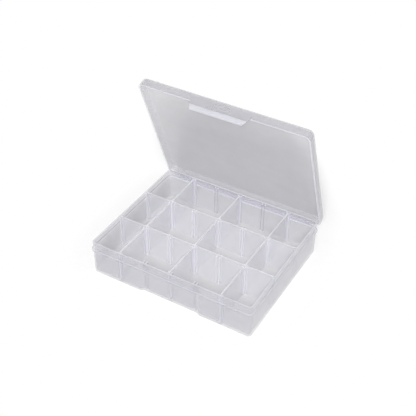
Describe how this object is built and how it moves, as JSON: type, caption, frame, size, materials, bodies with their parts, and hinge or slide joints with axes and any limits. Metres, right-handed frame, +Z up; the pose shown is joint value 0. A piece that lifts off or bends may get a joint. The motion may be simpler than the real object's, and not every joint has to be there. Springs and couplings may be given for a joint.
{
  "type": "compartment organizer box",
  "caption": "Clear rectangular box with a hinged lid and latch tab, divided into small compartments by plates that slide in guide ribs; keeps craft, sewing and small parts sorted.",
  "frame": {"origin": "middle of the tray's underside, on the surface it stands on", "axes": "+X to the right along the long side, +Y to the hinge at the back, +Z up"},
  "size_m": [0.2048, 0.1755, 0.1923],
  "materials": {
    "clear_shell": "translucent polypropylene, lightly frosted",
    "clear_divider": "translucent polypropylene, lightly frosted"
  },
  "bodies": {
    "tray": {"base_tray": "clear_shell", "hinge_web": "clear_shell"},
    "lid": {"lid": "clear_shell"},
    "row_divider_rear": {"row_divider_rear": "clear_divider"},
    "row_divider_front": {"row_divider_front": "clear_divider"},
    "short_divider_rear_left": {"short_divider_rear_left": "clear_divider"},
    "short_divider_rear_centre": {"short_divider_rear_centre": "clear_divider"},
    "short_divider_rear_right": {"short_divider_rear_right": "clear_divider"},
    "short_divider_middle_left": {"short_divider_middle_left": "clear_divider"},
    "short_divider_middle_centre": {"short_divider_middle_centre": "clear_divider"},
    "short_divider_middle_right": {"short_divider_middle_right": "clear_divider"},
    "short_divider_front_left": {"short_divider_front_left": "clear_divider"},
    "short_divider_front_centre": {"short_divider_front_centre": "clear_divider"},
    "short_divider_front_right": {"short_divider_front_right": "clear_divider"}
  },
  "joints": [
    {"name": "lid_hinge", "type": "hinge", "parent": "tray", "child": "lid", "pos_m": [0, 0.0843, 0.03313], "axis": [-1, 0, 0], "range_deg": [-69, 111]},
    {"name": "row_divider_rear_lift", "type": "slide", "parent": "tray", "child": "row_divider_rear", "axis": [0, 0, 1], "range_m": [0, 0.05]},
    {"name": "row_divider_front_lift", "type": "slide", "parent": "tray", "child": "row_divider_front", "axis": [0, 0, 1], "range_m": [0, 0.05]},
    {"name": "short_divider_rear_left_lift", "type": "slide", "parent": "tray", "child": "short_divider_rear_left", "axis": [0, 0, 1], "range_m": [0, 0.031]},
    {"name": "short_divider_rear_centre_lift", "type": "slide", "parent": "tray", "child": "short_divider_rear_centre", "axis": [0, 0, 1], "range_m": [0, 0.031]},
    {"name": "short_divider_rear_right_lift", "type": "slide", "parent": "tray", "child": "short_divider_rear_right", "axis": [0, 0, 1], "range_m": [0, 0.031]},
    {"name": "short_divider_middle_left_lift", "type": "slide", "parent": "tray", "child": "short_divider_middle_left", "axis": [0, 0, 1], "range_m": [0, 0.05]},
    {"name": "short_divider_middle_centre_lift", "type": "slide", "parent": "tray", "child": "short_divider_middle_centre", "axis": [0, 0, 1], "range_m": [0, 0.05]},
    {"name": "short_divider_middle_right_lift", "type": "slide", "parent": "tray", "child": "short_divider_middle_right", "axis": [0, 0, 1], "range_m": [0, 0.05]},
    {"name": "short_divider_front_left_lift", "type": "slide", "parent": "tray", "child": "short_divider_front_left", "axis": [0, 0, 1], "range_m": [0, 0.05]},
    {"name": "short_divider_front_centre_lift", "type": "slide", "parent": "tray", "child": "short_divider_front_centre", "axis": [0, 0, 1], "range_m": [0, 0.05]},
    {"name": "short_divider_front_right_lift", "type": "slide", "parent": "tray", "child": "short_divider_front_right", "axis": [0, 0, 1], "range_m": [0, 0.05]}
  ]
}
